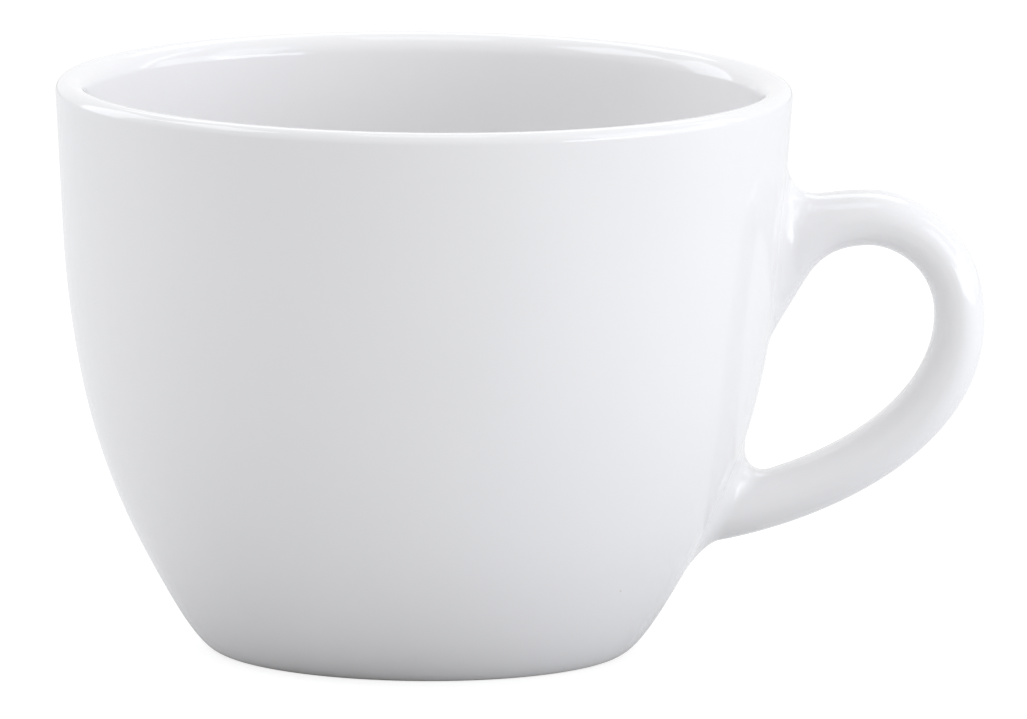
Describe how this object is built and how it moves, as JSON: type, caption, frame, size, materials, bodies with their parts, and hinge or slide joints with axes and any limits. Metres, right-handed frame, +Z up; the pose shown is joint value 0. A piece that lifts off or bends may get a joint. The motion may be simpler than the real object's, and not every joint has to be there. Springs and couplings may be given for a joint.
{
  "type": "breakfast cup",
  "caption": "White glazed porcelain breakfast cup with a tapered round body, a rounded lip, a recessed foot ring and a loop handle stuck to the wall at its roots.",
  "frame": {"origin": "on the cup's axis, on the plane that the foot ring stands on", "axes": "+Z up the cup's axis to the lip, +X from the axis towards the handle, Y across the handle"},
  "size_m": [0.1262, 0.0998, 0.0775],
  "materials": {
    "glazed_body": "white porcelain under a clear gloss glaze, bare and matt where the foot stands",
    "glazed_handle": "white porcelain under a clear gloss glaze",
    "glazed_joint": "fired porcelain slip under a clear gloss glaze"
  },
  "bodies": {
    "root": {"cup_body": "glazed_body", "handle": "glazed_handle", "upper_handle_slip": "glazed_joint", "lower_handle_slip": "glazed_joint"}
  },
  "joints": []
}
